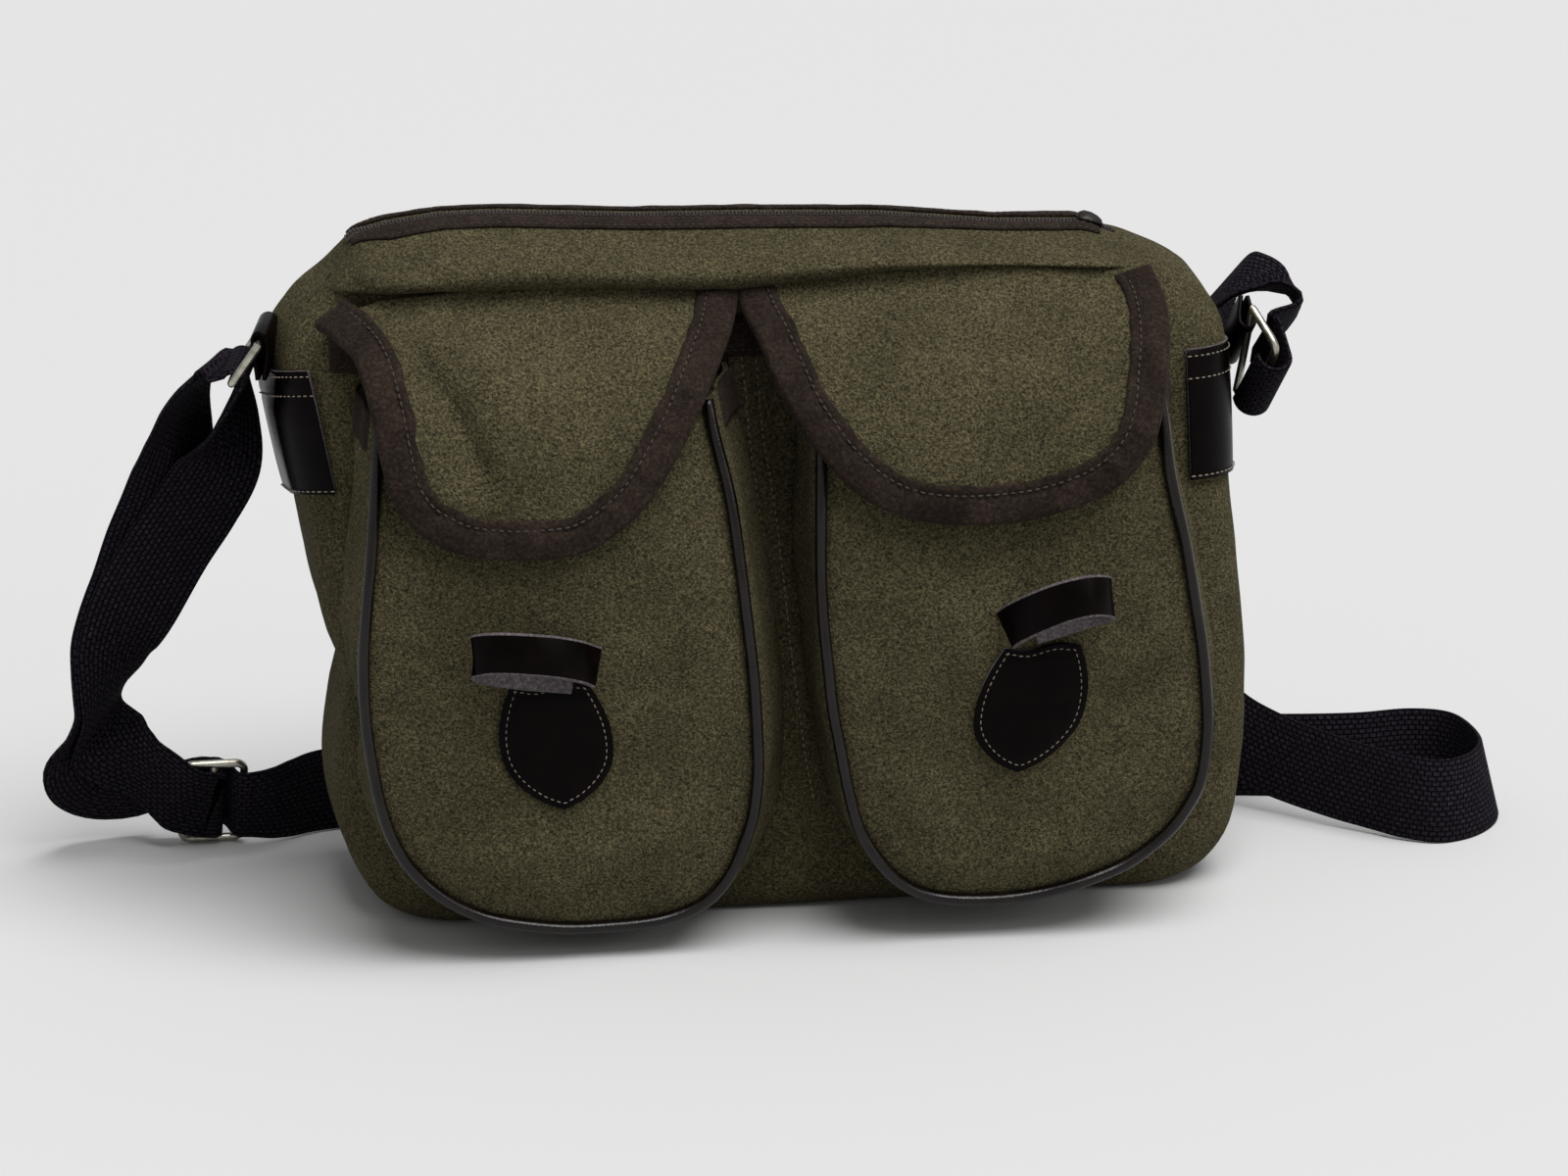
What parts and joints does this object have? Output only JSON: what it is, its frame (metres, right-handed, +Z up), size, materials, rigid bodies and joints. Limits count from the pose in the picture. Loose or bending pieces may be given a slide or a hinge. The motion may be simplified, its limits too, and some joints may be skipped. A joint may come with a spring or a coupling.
{
  "type": "hunting game bag",
  "caption": "Soft shoulder bag of brushed wool with a zipped top, bellows pockets under bound flaps, leather trim and a webbing shoulder strap on D-rings.",
  "frame": {"origin": "on the surface that the bag stands on, under the middle of its body", "axes": "+X to the right seen from the front, +Y to the back, +Z up"},
  "size_m": [0.6333, 0.2167, 0.3008],
  "materials": {
    "wool_felt": "brushed wool felt, matte",
    "suede": "suede, matte",
    "leather": "smooth leather, soft gloss",
    "piping_leather": "smooth leather cord, soft gloss",
    "webbing": "woven cotton webbing, matte",
    "zip_tape": "woven zip tape",
    "nickel": "polished nickel wire"
  },
  "bodies": {
    "root": {"body_shell": "wool_felt", "zip": "zip_tape", "zip_facing_front": "suede", "zip_facing_back": "suede", "zip_slider": "nickel", "pocket_mouth_strip": "suede", "shoulder_strap": "webbing", "strap_buckle": "nickel", "pocket_left": "wool_felt", "pocket_piping_left": "piping_leather", "flap_left": "wool_felt", "flap_binding_left": "suede", "patch_left": "leather", "closing_strip_left": "leather", "side_tab_left": "leather", "d_ring_left": "nickel", "ring_tab_left": "leather", "pocket_right": "wool_felt", "pocket_piping_right": "piping_leather", "flap_right": "wool_felt", "flap_binding_right": "suede", "patch_right": "leather", "closing_strip_right": "leather", "side_tab_right": "leather", "d_ring_right": "nickel", "ring_tab_right": "leather"}
  },
  "joints": []
}
